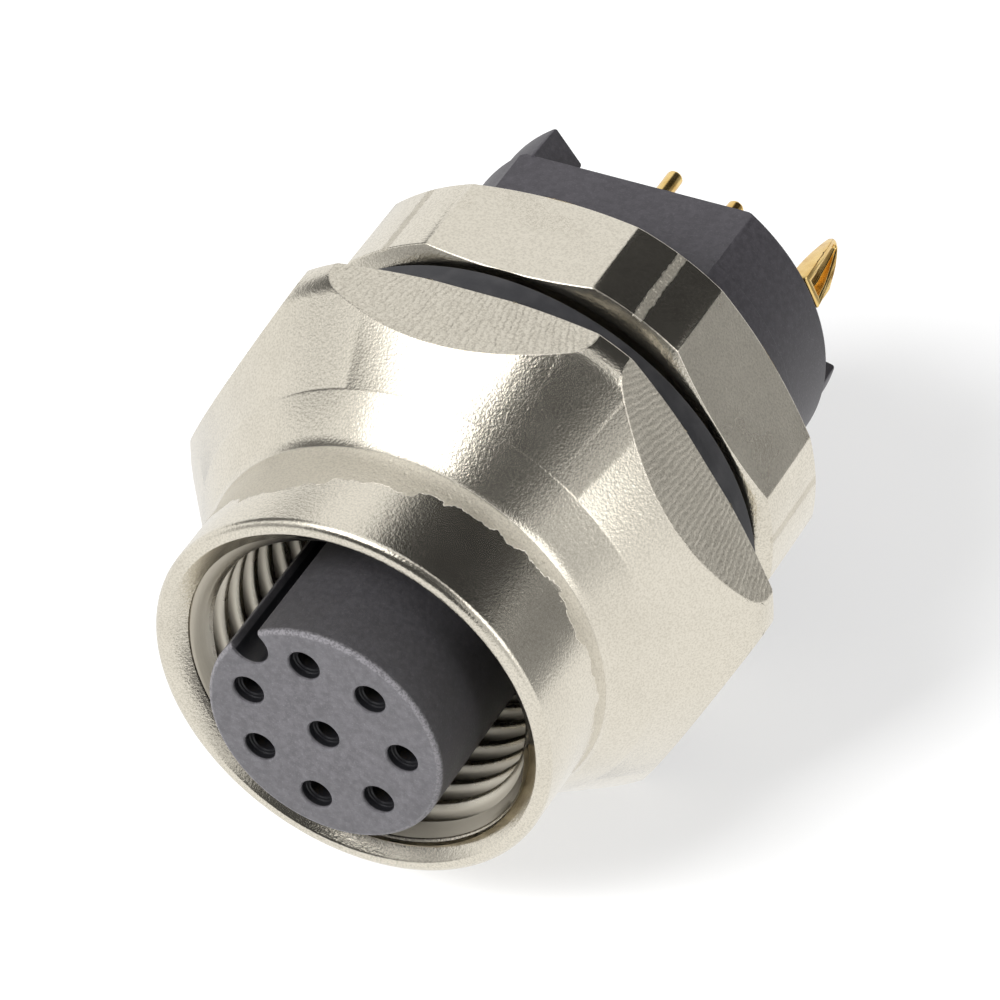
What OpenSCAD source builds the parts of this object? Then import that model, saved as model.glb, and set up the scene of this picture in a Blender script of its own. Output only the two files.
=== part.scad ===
// Round panel socket for an M12 plug: a turned housing with a moulded insert, eight sockets with
// straight solder tails, a rear carrier, a shield pin, two seals and a lock nut.
// The axis runs along Y. The mating face looks toward -Y and the solder tails toward +Y.
// The origin is on the axis in the plane of the panel seat. Angles are seen from the mating face,
// from +X toward +Z.

/* [Mating end] */
// Diameter of the threaded cavity that the plug screws into
mating_thread_d = 12; // [11.6:0.1:12.4]
// Depth of the cavity behind the rim
cavity_depth = 8.8; // [8:0.1:9]
// Wall of the collar round the cavity
collar_wall = 1; // [0.8:0.1:1.3]
// Length of the straight collar behind the rim
collar_len = 3.8; // [3:0.1:4]
// Radius on the outer edge of the rim
rim_round = 0.35; // [0.1:0.05:0.5]
// Width of the small chamfer inside the rim
rim_chamfer = 0.1; // [0.05:0.01:0.2]

/* [Front body] */
// Distance from the rim back to the panel seat
front_len = 9.8; // [9.4:0.1:11.5]
// Radius where the collar runs out into the slope
slope_fillet = 1.6; // [0.6:0.1:2]

/* [Hexagon of the body] */
// Width of the body outside the seal at the middle of a flat
seat_rim = 0.25; // [0.1:0.05:0.6]
// Distance that the turned corners of the hexagon stand out beyond its flats
corner_step = 1.1; // [0.8:0.05:1.2]
// Length of the corners at their full radius
corner_len = 0.9; // [0.8:0.05:1.2]
// Radius on the shoulder where the slope meets the corners
shoulder_round = 1.8; // [0.8:0.1:2]
// Step in radius of the chamfer behind the corners
back_step = 1; // [0.6:0.05:1.05]
// Length of that chamfer
back_len = 0.4; // [0.3:0.05:0.6]
// Radius on both edges of that chamfer
back_round = 0.12; // [0.05:0.01:0.2]

/* [Spigot and rear bore] */
// Diameter of the panel thread
spigot_d = 15; // [14.8:0.05:15.2]
// Length of the spigot behind the panel seat
spigot_len = 5.4; // [5:0.1:6.5]
// Chamfer at the free end of the spigot
spigot_chamfer = 0.45; // [0.2:0.05:0.5]
// Depth of the thread relief next to the seat
relief_depth = 0.55; // [0.4:0.05:0.6]
// Length of the thread relief
relief_len = 1.0; // [0.6:0.1:1.3]
// Wall of the spigot round the bore that takes the insert and the carrier
spigot_wall = 1.2; // [1.1:0.05:1.4]
// Thickness of the web between the cavity and the rear bore
web_t = 1.2; // [0.8:0.1:1.5]
// Diameter of the hole in the web
web_hole_d = 9.3; // [9:0.1:9.6]
// Thickness of the ring seal between the web and the insert's flange
ring_t = 0.9; // [0.7:0.05:1]

/* [Insert] */
// Diameter of the insert's nose, which goes into the plug
nose_d = 8.2; // [8:0.05:8.3]
// Distance that the nose stands out in front of the rim
nose_proud = 1.7; // [0.5:0.1:2]
// Radius on the front edge of the nose
nose_round = 0.18; // [0.05:0.01:0.25]
// Length of the thicker root in front of the web
root_len = 0.9; // [0.4:0.1:1.5]
// Thickness of the flange behind the web
flange_t = 2.6; // [2:0.1:3]
// Width of the coding groove
key_w = 1.3; // [1.1:0.05:1.5]
// Distance from the axis to the floor of the coding groove
key_floor = 3.05; // [2.95:0.05:3.2]
// Direction of the coding groove
key_angle = 130; // [0:1:360]

/* [Contacts] */
// Diameter of the circle that the outer contacts stand on
contact_circle_d = 5.5; // [5.4:0.05:5.6]
// Angle between the two contacts beside the coding groove, with the others spread evenly
key_gap = 60; // [56:1:70]
// Bore of a socket
socket_bore_d = 0.84; // [0.8:0.01:0.9]
// Outside diameter of a socket
socket_d = 1.5; // [1.3:0.05:1.55]
// Depth of the bore in a socket
socket_depth = 6; // [5:0.1:7]
// Distance from the insert's face back to the mouth of a socket
socket_recess = 0.45; // [0.3:0.05:0.8]
// Length of the spring slot across a socket
slot_len = 3.5; // [2.5:0.1:4.5]
// Width of the spring slot
slot_w = 0.15; // [0.1:0.01:0.16]
// Diameter of the hole in the insert's face over a socket
mouth_d = 1.1; // [1:0.05:1.2]
// Diameter of the collar that holds a contact in the insert
contact_collar_d = 1.9; // [1.7:0.05:2]
// Length of that collar
contact_collar_len = 0.8; // [0.5:0.1:1]
// Diameter of a contact where it passes through the carrier
shank_d = 1; // [0.94:0.02:1.1]
// Diameter of a solder tail
tail_d = 0.6; // [0.5:0.02:0.66]
// Length of the solder tails behind the carrier
tail_len = 3.8; // [3:0.1:5]
// Distance that the thicker shank stands out behind the carrier
shank_step = 0.3; // [0.1:0.05:0.5]

/* [Rear carrier] */
// Step in radius from the rear bore out to the carrier's head
head_step = 0.6; // [0.4:0.05:0.65]
// Length of the head
head_len = 6.2; // [5.5:0.1:7]
// Length of the slightly larger band at the front of the head
band_len = 3.2; // [1.5:0.1:4]
// Step between that band and the rest of the head
band_step = 0.12; // [0.05:0.01:0.2]
// Depth of the flat on top of the head
flat_depth = 1.6; // [1.3:0.05:2]
// Length of the full round rim in front of the flat
head_rim = 0.4; // [0.2:0.1:0.6]
// Radius on the rear edge of the head
head_round = 0.15; // [0.05:0.01:0.25]
// Height of the two feet that stand the carrier off the board
foot_h = 1.6; // [1:0.1:2]
// Distance from the head's edge in to the feet
foot_inset = 0.3; // [0.2:0.05:0.6]
// Width of each foot across its ring
foot_wall = 1.7; // [1.2:0.1:2]
// Angle that each foot spans
foot_span = 40; // [20:1:60]
// Direction of the first foot's nearer side
foot_angle = 125; // [115:1:135]

/* [Shield pin] */
// Direction of the shield pin
shield_angle = 22; // [10:1:30]
// Width of the shield strip and pin
shield_w = 1.2; // [1:0.05:1.4]
// Thickness of the shield strip
shield_t = 0.3; // [0.2:0.02:0.34]
// Height of the folded pin
shield_fold_h = 0.8; // [0.6:0.05:1]
// Length of the folded pin behind the carrier
shield_pin_len = 3.1; // [2.4:0.1:4]
// Width of the folded pin at its rounded tip
shield_tip_w = 0.8; // [0.7:0.05:1]

/* [Panel seal and lock nut] */
// Width of the panel seal across its ring
seal_w = 1.4; // [1:0.05:1.6]
// Thickness of the panel seal
seal_t = 1.3; // [1:0.05:1.5]
// Free space for the panel between seal and nut
panel_gap = 0.8; // [0.4:0.1:1.2]
// Thickness of the nut
nut_t = 4; // [3.5:0.1:4.4]
// Wall of the nut at the middle of its flats
nut_wall = 0.95; // [0.85:0.05:1.15]
// Distance that the rounded corners of the nut stand out beyond its flats
nut_corner = 0.5; // [0.3:0.05:0.8]
// Width of the chamfers on the corners of the nut, measured along its radius
nut_chamfer = 0.5; // [0.3:0.05:0.6]
// Slope of those chamfers from the nut's faces
nut_chamfer_slope = 30; // [15:1:45]
// Width of the lead chamfer at each end of the nut's thread
nut_lead = 0.35; // [0.1:0.05:0.5]

/* [Fits] */
// Radial play between the nut and the spigot
thread_play = 0.05; // [0.03:0.01:0.08]
// Radial play round the moulded pieces in the housing
moulding_play = 0.04; // [0.02:0.01:0.06]
// Radial play round each contact
contact_play = 0.03; // [0.02:0.01:0.04]
// Radial play between the panel seal and the spigot
seal_play = 0.1; // [0.05:0.01:0.15]

/* [Hidden] */
$fn = 96;
contact_fn = 32;
arc_steps = 8;
through = 1;
contact_count = 8;
contact_pitch = (360 - key_gap) / (contact_count - 2);

// Stations along the axis
rim_y = -front_len;
cavity_y = rim_y + cavity_depth;
web_y = cavity_y + web_t;
slope_y = rim_y + collar_len;
shoulder_y = -back_len - corner_len;
face_y = rim_y - nose_proud;
root_y = cavity_y - root_len;
head_end_y = spigot_len + head_len;
band_y = spigot_len + band_len;
tail_end_y = head_end_y + tail_len;
nut_y = seal_t + panel_gap;

// The panel thread sets the rear bore, the seal, the body round the seal and the nut
spigot_r = spigot_d / 2;
relief_r = spigot_r - relief_depth;
rear_bore_r = spigot_r - spigot_wall;
seal_in_r = spigot_r + seal_play;
seal_out_r = seal_in_r + seal_w;
wrench_r = seal_out_r + seat_rim;
body_r = wrench_r + corner_step;
nut_bore_r = spigot_r + thread_play;
nut_flat_r = nut_bore_r + nut_wall;
nut_corner_r = nut_flat_r + nut_corner;
nut_chamfer_len = nut_chamfer * tan(nut_chamfer_slope);

// The ring seal lies on the middle of the web's ledge, and the insert's flange holds it there
web_hole_r = web_hole_d / 2;
inner_seal_r = (rear_bore_r + web_hole_r) / 2;
flange_y = web_y + ring_t;
flange_end_y = flange_y + flange_t;

// The carrier follows the rear bore, and the collar follows the mating thread
bore_r = mating_thread_d / 2;
collar_r = bore_r + collar_wall;
neck_r = rear_bore_r - moulding_play;
head_r = rear_bore_r + head_step;
head_rear_r = head_r - band_step;
flat_h = head_r - flat_depth;
foot_r = head_r - foot_inset;
shield_out_r = rear_bore_r - moulding_play / 2;
shield_in_r = shield_out_r - shield_t;
socket_r = socket_d / 2;
shank_r = shank_d / 2;
tail_r = tail_d / 2;
tail_chamfer = 0.4 * tail_r;
socket_lead = 0.4 * (socket_d - socket_bore_d) / 2;

foot_angles = [foot_angle, foot_angle - 180];

metal_colour = [0.78, 0.75, 0.69];
plastic_colour = [0.20, 0.19, 0.21];
rubber_colour = [0.10, 0.10, 0.11];
gold_colour = [0.86, 0.66, 0.26];

function unit(v) = v / norm(v);

// The corner b between a and c, as an arc of radius r, or as a point where r is 0
function corner_arc(a, b, c, r) =
    r == 0 ? [b] :
    let (
        to_a = unit(a - b),
        to_c = unit(c - b),
        half_angle = acos(to_a * to_c) / 2,
        start = b + to_a * r / tan(half_angle),
        end = b + to_c * r / tan(half_angle),
        centre = b + unit(to_a + to_c) * r / sin(half_angle)
    )
    [for (i = [0 : arc_steps]) centre + r * unit(start + (end - start) * i / arc_steps - centre)];

// A closed outline from corners that each give radius from the axis, station and rounding
function rounded(corners) =
    let (n = len(corners))
    [for (i = [0 : n - 1])
        let (a = corners[(i + n - 1) % n], b = corners[i], c = corners[(i + 1) % n])
        each corner_arc([a[0], a[1]], [b[0], b[1]], [c[0], c[1]], b[2])];

// Where contact i stands across the axis: the first on the axis, the others on the circle
function contact_place(i) =
    i == 1 ? [0, 0] :
    let (a = key_angle - 180 + contact_pitch * (5 - i))
    contact_circle_d / 2 * [cos(a), sin(a)];

// Turned shape about the Y axis
module turned(corners, sides = $fn) {
    rotate([-90, 0, 0])
        rotate_extrude($fn = sides)
            polygon(rounded(corners));
}

// Round bar along Y between two stations
module rod(r, from, to, sides = $fn) {
    translate([0, from, 0])
        rotate([-90, 0, 0])
            cylinder(r = r, h = to - from, $fn = sides);
}

// Hexagonal bar along Y between two stations, with its upper flat square to Z
module hexagon(flat_r, from, to) {
    rod(flat_r / cos(30), from, to, 6);
}

// Places what is drawn toward +X in the given direction round the axis
module at_angle(a) {
    rotate([0, -a, 0])
        children();
}

// Block from a near corner to a far corner
module block(near, far) {
    translate(near)
        cube(far - near);
}

// Places what is drawn on the Y axis where contact i stands
module at_contact(i) {
    place = contact_place(i);
    translate([place[0], 0, place[1]])
        children();
}

module housing_turning() {
    turned([
        [bore_r + rim_chamfer, rim_y, 0],
        [collar_r, rim_y, rim_round],
        [collar_r, slope_y, slope_fillet],
        [body_r, shoulder_y, shoulder_round],
        [body_r, -back_len, back_round],
        [body_r - back_step, 0, back_round],
        [relief_r, 0, 0],
        [relief_r, relief_len, 0],
        [spigot_r, relief_len + relief_depth, 0],
        [spigot_r, spigot_len - spigot_chamfer, 0],
        [spigot_r - spigot_chamfer, spigot_len, 0],
        [rear_bore_r, spigot_len, 0],
        [rear_bore_r, web_y, 0],
        [web_hole_r, web_y, 0],
        [web_hole_r, cavity_y, 0],
        [bore_r, cavity_y, 0],
        [bore_r, rim_y + rim_chamfer, 0]
    ]);
}

// The turned slope runs into the hexagon, which leaves an arc at the front of each flat
module housing() {
    color(metal_colour)
        intersection() {
            housing_turning();
            hexagon(wrench_r, rim_y - through, spigot_len + through);
        }
}

module inner_seal() {
    color(rubber_colour)
        translate([0, web_y + ring_t / 2, 0])
            rotate([-90, 0, 0])
                rotate_extrude()
                    translate([inner_seal_r, 0])
                        circle(d = ring_t, $fn = contact_fn);
}

module insert_turning() {
    root_r = web_hole_r - moulding_play;
    turned([
        [0, face_y, 0],
        [nose_d / 2, face_y, nose_round],
        [nose_d / 2, root_y, 0],
        [root_r, root_y, 0],
        [root_r, flange_y, 0],
        [neck_r, flange_y, 0],
        [neck_r, flange_end_y, 0],
        [0, flange_end_y, 0]
    ]);
}

module key_groove() {
    at_angle(key_angle)
        translate([key_floor + key_w / 2, 0, 0]) {
            rod(key_w / 2, face_y - through, root_y, contact_fn);
            block([0, face_y - through, -key_w / 2], [nose_d / 2, root_y, key_w / 2]);
        }
}

module contact_hole() {
    rod(mouth_d / 2, face_y - through, face_y + socket_recess, contact_fn);
    rod(socket_r + contact_play, face_y + socket_recess, flange_end_y + through, contact_fn);
    rod(contact_collar_d / 2 + contact_play, flange_end_y - contact_collar_len, flange_end_y + through,
        contact_fn);
}

module contact_insert() {
    color(plastic_colour)
        difference() {
            insert_turning();
            key_groove();
            for (i = [1 : contact_count])
                at_contact(i) contact_hole();
        }
}

module contact_turning() {
    mouth_y = face_y + socket_recess;
    bore_r = socket_bore_d / 2;
    turned([
        [bore_r + socket_lead, mouth_y, 0],
        [socket_r, mouth_y, 0],
        [socket_r, flange_end_y - contact_collar_len, 0],
        [contact_collar_d / 2, flange_end_y - contact_collar_len, 0],
        [contact_collar_d / 2, flange_end_y, 0],
        [shank_r, flange_end_y, 0],
        [shank_r, head_end_y + shank_step, 0],
        [tail_r, head_end_y + shank_step, 0],
        [tail_r, tail_end_y - tail_chamfer, 0],
        [tail_r - tail_chamfer, tail_end_y, 0],
        [0, tail_end_y, 0],
        [0, mouth_y + socket_depth, 0],
        [bore_r, mouth_y + socket_depth, 0],
        [bore_r, mouth_y + socket_lead, 0]
    ], contact_fn);
}

module contact(i) {
    color(gold_colour)
        at_contact(i)
            difference() {
                contact_turning();
                block([-socket_d, face_y, -slot_w / 2],
                      [socket_d, face_y + socket_recess + slot_len, slot_w / 2]);
            }
}

module head_turning() {
    turned([
        [0, flange_end_y, 0],
        [neck_r, flange_end_y, 0],
        [neck_r, spigot_len, 0],
        [head_r, spigot_len, 0],
        [head_r, band_y, 0],
        [head_rear_r, band_y, 0],
        [head_rear_r, head_end_y, head_round],
        [0, head_end_y, 0]
    ]);
}

// Sector of a ring, from direction a onward, that stands on the rear face of the head
module foot(a) {
    reach = foot_r / cos(foot_span / 2);
    base_y = head_end_y - head_round;
    top_y = head_end_y + foot_h;
    intersection() {
        difference() {
            rod(foot_r, base_y, top_y);
            rod(foot_r - foot_wall, base_y - through, top_y + through);
        }
        at_angle(a)
            translate([0, top_y, 0])
                rotate([90, 0, 0])
                    linear_extrude(top_y - base_y)
                        polygon([[0, 0], [reach, 0], reach * [cos(foot_span), sin(foot_span)]]);
    }
}

module shield_slot() {
    gap = contact_play;
    at_angle(shield_angle)
        block([shield_in_r - gap, flange_end_y - through, -shield_w / 2 - gap],
              [shield_out_r + gap, head_end_y + through, shield_w / 2 + gap]);
}

// The flat leaves a full rim against the spigot, and steps down behind the band
module head_flat() {
    block([-head_r, spigot_len + head_rim, flat_h + band_step], [head_r, tail_end_y, head_r + through]);
    block([-head_r, band_y + band_step, flat_h], [head_r, tail_end_y, head_r + through]);
}

module rear_carrier() {
    color(plastic_colour)
        difference() {
            union() {
                head_turning();
                for (a = foot_angles)
                    foot(a);
            }
            head_flat();
            shield_slot();
            for (i = [1 : contact_count])
                at_contact(i)
                    rod(shank_r + contact_play, flange_end_y - through, tail_end_y, contact_fn);
        }
}

// Outline of the folded pin, from its root at y = 0 to a rounded tip, less an even margin
module pin_outline(margin) {
    tip_r = shield_tip_w / 2;
    polygon([
        [margin, -shield_w / 2 + margin],
        [shield_pin_len - tip_r, -tip_r + margin],
        [shield_pin_len - tip_r, tip_r - margin],
        [margin, shield_w / 2 - margin]
    ]);
    translate([shield_pin_len - tip_r, 0])
        circle(r = tip_r - margin, $fn = contact_fn);
}

// Flat shape drawn along the axis, raised outward from the strip's inner face
module raised(from, height) {
    translate([from, head_end_y, 0])
        rotate([90, 0, 90])
            linear_extrude(height)
                children();
}

module shield_pin() {
    fold_wall = 0.8 * shield_t;
    color(gold_colour)
        at_angle(shield_angle)
            difference() {
                union() {
                    block([shield_in_r, flange_end_y + moulding_play, -shield_w / 2],
                          [shield_out_r, head_end_y + fold_wall / 2, shield_w / 2]);
                    raised(shield_in_r, shield_fold_h) pin_outline(0);
                }
                raised(shield_in_r + fold_wall, shield_fold_h) pin_outline(fold_wall);
            }
}

module panel_seal() {
    seal_edge = 0.1 * seal_t;
    color(rubber_colour)
        turned([
            [seal_in_r, 0, 0],
            [seal_out_r, 0, seal_edge],
            [seal_out_r, seal_t, seal_edge],
            [seal_in_r, seal_t, 0]
        ]);
}

module nut_turning() {
    face_r = nut_corner_r - nut_chamfer;
    nut_end_y = nut_y + nut_t;
    turned([
        [nut_bore_r + nut_lead, nut_y, 0],
        [face_r, nut_y, 0],
        [nut_corner_r, nut_y + nut_chamfer_len, 0],
        [nut_corner_r, nut_end_y - nut_chamfer_len, 0],
        [face_r, nut_end_y, 0],
        [nut_bore_r + nut_lead, nut_end_y, 0],
        [nut_bore_r, nut_end_y - nut_lead, 0],
        [nut_bore_r, nut_y + nut_lead, 0]
    ]);
}

module lock_nut() {
    color(metal_colour)
        intersection() {
            nut_turning();
            hexagon(nut_flat_r, nut_y - through, nut_y + nut_t + through);
        }
}

housing();
inner_seal();
contact_insert();
for (i = [1 : contact_count])
    contact(i);
rear_carrier();
shield_pin();
panel_seal();
lock_nut();
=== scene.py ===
"""The panel socket's looks: its turned, moulded and gold pieces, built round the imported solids."""

import logging
import math
from dataclasses import dataclass
from enum import Enum
from functools import reduce
from typing import Any, Callable, Iterable, Optional, Sequence

import bpy
from mathutils import Matrix, Vector


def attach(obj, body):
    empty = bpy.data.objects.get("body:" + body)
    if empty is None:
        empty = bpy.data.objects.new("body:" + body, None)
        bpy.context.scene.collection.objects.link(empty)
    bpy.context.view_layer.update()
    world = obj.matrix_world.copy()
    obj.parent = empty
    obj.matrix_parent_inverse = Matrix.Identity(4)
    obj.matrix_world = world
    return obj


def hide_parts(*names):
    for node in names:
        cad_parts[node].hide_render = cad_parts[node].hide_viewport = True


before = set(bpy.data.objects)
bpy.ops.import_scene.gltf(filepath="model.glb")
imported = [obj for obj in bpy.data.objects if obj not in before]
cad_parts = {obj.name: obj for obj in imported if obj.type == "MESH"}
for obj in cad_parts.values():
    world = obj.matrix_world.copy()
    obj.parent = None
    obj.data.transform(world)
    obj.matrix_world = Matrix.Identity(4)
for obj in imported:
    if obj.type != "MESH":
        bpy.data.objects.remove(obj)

LOG = logging.getLogger("panel_socket")
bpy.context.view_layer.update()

# Sizes that several pieces and finishes share: mm, and degrees round the axis seen from the mating face
MM = 0.001
FACE_Y = -11.5
NOSE_R = 4.1
COLLAR_R = 7.0
SLOPE_Y = -6.0
BODY_FLAT_R = 9.25
NUT_FLAT_R = 8.5
NUT_CORNER_R = 9.0
FLAT_PAIRS = (90.0, 30.0, -30.0)
CORNER_PAIRS = (0.0, 60.0, 120.0)
KEY_ANGLE = 130.0
PIN_ANGLE = 22.0
CONTACT_CIRCLE_R = 2.75
CONTACT_STEP = 50.0
CONTACT_OPPOSITE_KEY = 5
OTHER_CONTACTS = range(2, 9)

# Modelling limits: distance of doubles and width of slivers in mm, angle of a level edge in degrees
DOUBLE = 0.0005
SLIVER = 0.002
LEVEL_EDGE = 0.5
TOOL_SIDES = 48

Solid = bpy.types.Object
Material = bpy.types.Material
Inputs = dict[Any, Any]
Point = tuple[float, float]
Corner = tuple[float, float, float]
Colour = tuple[float, float, float, float]


class Body(Enum):
    """The bodies that pieces ride on."""

    CONNECTOR = "connector"
    NUT = "nut"


class Slot(Enum):
    """The record's material slots."""

    NICKEL = "nickel"
    PLASTIC = "plastic"
    RUBBER = "rubber"
    GOLD = "gold"


class Cut(Enum):
    """What is kept where a tool meets a piece."""

    AWAY = "DIFFERENCE"
    COMMON = "INTERSECT"


def toward(angle: float, radius: float, station: float) -> Vector:
    """A point in mm from its direction seen from the mating face, radius and station."""
    a = math.radians(angle)
    return Vector((radius * math.cos(a), station, radius * math.sin(a)))


def contact_place(number: int) -> Vector:
    """Where a contact stands across the axis, in mm: the first on the axis, the others on the circle."""
    if number == 1:
        return Vector()
    angle = KEY_ANGLE - 180 + CONTACT_STEP * (CONTACT_OPPOSITE_KEY - number)
    return toward(angle, CONTACT_CIRCLE_R, 0)


def rounded(corners: Sequence[Corner], steps: int = 8) -> list[Point]:
    """Rounds the corners of an open outline.

    Args:
        corners: Radius, station and rounding of each corner, in mm.
        steps: Number of chords in each rounding.

    Returns:
        The outline's points as radius and station.
    """
    points: list[Point] = []
    for i, (radius, station, rounding) in enumerate(corners):
        here = Vector((radius, station))
        if rounding == 0 or i in (0, len(corners) - 1):
            points.append((radius, station))
            continue
        back = (Vector(corners[i - 1][:2]) - here).normalized()
        on = (Vector(corners[i + 1][:2]) - here).normalized()
        half = back.angle(on) / 2
        start = here + back * rounding / math.tan(half)
        end = here + on * rounding / math.tan(half)
        centre = here + (back + on).normalized() * rounding / math.sin(half)
        for k in range(steps + 1):
            spoke = (start.lerp(end, k / steps) - centre).normalized() * rounding
            points.append(tuple(centre + spoke))
    return points


class Bench:
    """The modelling moves that the pieces share. Sizes are in mm and angles in degrees."""

    @staticmethod
    def clear() -> None:
        """Leaves edit mode and deselects everything."""
        if bpy.context.object and bpy.context.object.mode != "OBJECT":
            bpy.ops.object.mode_set(mode="OBJECT")
        bpy.ops.object.select_all(action="DESELECT")

    @classmethod
    def pick(cls, piece: Solid) -> None:
        """Makes one piece the selected and active one."""
        cls.clear()
        piece.select_set(True)
        bpy.context.view_layer.objects.active = piece

    @classmethod
    def open(cls, piece: Solid) -> None:
        """Opens a piece in edit mode, with all of it selected."""
        cls.pick(piece)
        bpy.ops.object.mode_set(mode="EDIT")
        bpy.ops.mesh.select_all(action="SELECT")

    @staticmethod
    def close() -> None:
        """Leaves edit mode."""
        bpy.ops.object.mode_set(mode="OBJECT")

    @classmethod
    def settle(cls) -> None:
        """Leaves edit mode and puts the selected object's place into its mesh."""
        cls.close()
        bpy.ops.object.transform_apply(location=True, rotation=True, scale=True)

    @staticmethod
    def swing(angle: float, axis: str) -> None:
        """Turns what is selected in edit mode about an axis through the origin."""
        bpy.ops.transform.rotate(value=math.radians(angle), orient_axis=axis, center_override=(0, 0, 0))

    @classmethod
    def outline(cls, name: str, points: Sequence[Point]) -> Solid:
        """Draws an outline in the XY plane by extruding one point.

        Args:
            name: Name of the new object.
            points: Radius and station of each point.

        Returns:
            The object, in edit mode with all its points selected.
        """
        cls.clear()
        first = (points[0][0] * MM, points[0][1] * MM, 0)
        bpy.ops.mesh.primitive_plane_add(size=0.1 * MM, location=first)
        piece = bpy.context.object
        piece.name = piece.data.name = name
        bpy.ops.object.mode_set(mode="EDIT")
        bpy.ops.mesh.merge(type="CENTER")
        for (r0, y0), (r1, y1) in zip(points, points[1:]):
            bpy.ops.mesh.extrude_vertices_move(
                TRANSFORM_OT_translate={"value": ((r1 - r0) * MM, (y1 - y0) * MM, 0)})
        bpy.ops.mesh.select_all(action="SELECT")
        return piece

    @classmethod
    def turn(cls, name: str, points: Sequence[Point], steps: int, closed: bool = True) -> Solid:
        """Turns an outline about the Y axis.

        Args:
            name: Name of the new object.
            points: Radius and station of each point.
            steps: Number of facets round the axis.
            closed: Whether the last point joins the first.

        Returns:
            The turned object.
        """
        piece = cls.outline(name, points)
        if closed:
            bpy.ops.mesh.select_all(action="DESELECT")
            cls.close()
            piece.data.vertices[0].select = True
            piece.data.vertices[len(points) - 1].select = True
            bpy.ops.object.mode_set(mode="EDIT")
            bpy.ops.mesh.edge_face_add()
            bpy.ops.mesh.select_all(action="SELECT")
        bpy.ops.mesh.spin(steps=steps, angle=math.tau, center=(0, 0, 0), axis=(0, 1, 0))
        cls.tidy(piece)
        return piece

    @classmethod
    def hexagon(cls, flat_r: float, front: float, rear: float) -> Solid:
        """Adds a hexagonal tool along the axis, with a flat square to Z.

        Args:
            flat_r: Distance of its flats from the axis.
            front: Station of its front end.
            rear: Station of its rear end.

        Returns:
            The tool.
        """
        cls.clear()
        corner_r = flat_r / math.cos(math.radians(30))
        bpy.ops.mesh.primitive_cylinder_add(vertices=6, radius=corner_r * MM, depth=(rear - front) * MM)
        tool = bpy.context.object
        cls.open(tool)
        cls.swing(30, "Z")
        cls.swing(90, "X")
        bpy.ops.transform.translate(value=(0, (front + rear) / 2 * MM, 0))
        cls.close()
        return tool

    @classmethod
    def block(cls, name: str, near: Corner, far: Corner, angle: float = 0.0) -> Solid:
        """Adds a square tool between two corners drawn toward +X, turned to a direction round the axis.

        Args:
            name: Name of the new object.
            near: Its lowest corner.
            far: Its highest corner.
            angle: Direction seen from the mating face.

        Returns:
            The tool.
        """
        cls.clear()
        low, high = Vector(near), Vector(far)
        turn = math.radians(-angle)
        place = Matrix.Rotation(turn, 3, "Y") @ ((low + high) / 2)
        bpy.ops.mesh.primitive_cube_add(size=1, location=place * MM, scale=(high - low) * MM,
                                        rotation=(0, turn, 0))
        bpy.context.object.name = name
        return bpy.context.object

    @classmethod
    def drills(cls, points: Sequence[Point]) -> list[Solid]:
        """Turns a stepped drill from its outline and copies it, so that there is one for each contact."""
        first = cls.turn("drill", points, TOOL_SIDES, closed=False)
        return [first] + [cls.copy(first, "drill", contact_place(number)) for number in OTHER_CONTACTS]

    @classmethod
    def modify(cls, piece: Solid, kind: str, **settings: Any) -> None:
        """Adds a modifier to a piece and applies it.

        Args:
            piece: The piece.
            kind: Type of the modifier.
            **settings: Its properties.
        """
        cls.pick(piece)
        bpy.ops.object.modifier_add(type=kind)
        modifier = piece.modifiers[-1]
        for key, value in settings.items():
            setattr(modifier, key, value)
        bpy.ops.object.modifier_apply(modifier=modifier.name)

    @classmethod
    def cut(cls, piece: Solid, tools: Iterable[Solid], kind: Cut = Cut.AWAY) -> None:
        """Cuts a piece with tools, removes the tools and tidies the piece.

        Args:
            piece: The piece that is cut.
            tools: The tools, used one after the other.
            kind: What is kept.
        """
        for tool in tools:
            cls.modify(piece, "BOOLEAN", operation=kind.value, solver="EXACT", object=tool)
            bpy.data.objects.remove(tool)
        cls.tidy(piece)

    @classmethod
    def ease(cls, piece: Solid, width: float, angle: float, segments: int = 2) -> None:
        """Rounds the edges that are sharper than an angle to a width, with so many facets across."""
        cls.modify(piece, "BEVEL", width=width * MM, segments=segments, limit_method="ANGLE",
                   angle_limit=math.radians(angle), use_clamp_overlap=False)

    @classmethod
    def tidy(cls, piece: Solid) -> None:
        """Merges doubles, turns the faces outward and puts the piece's place into its mesh."""
        cls.open(piece)
        bpy.ops.mesh.remove_doubles(threshold=DOUBLE * MM)
        bpy.ops.mesh.dissolve_degenerate(threshold=DOUBLE * MM)
        bpy.ops.mesh.normals_make_consistent(inside=False)
        cls.settle()

    @classmethod
    def flatten(cls, piece: Solid, merge: float) -> None:
        """Merges the points of a piece within a distance and joins its coplanar faces, for rounding."""
        cls.open(piece)
        bpy.ops.mesh.remove_doubles(threshold=merge * MM)
        bpy.ops.mesh.dissolve_limited(angle_limit=math.radians(LEVEL_EDGE))
        bpy.ops.mesh.dissolve_degenerate(threshold=SLIVER * MM)
        cls.close()

    @classmethod
    def smooth(cls, piece: Solid, angle: float) -> None:
        """Shades a piece smooth, apart from edges sharper than an angle, and keeps flats flat."""
        cls.pick(piece)
        bpy.ops.object.shade_smooth_by_angle(angle=math.radians(angle))
        cls.modify(piece, "WEIGHTED_NORMAL", keep_sharp=True)

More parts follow.
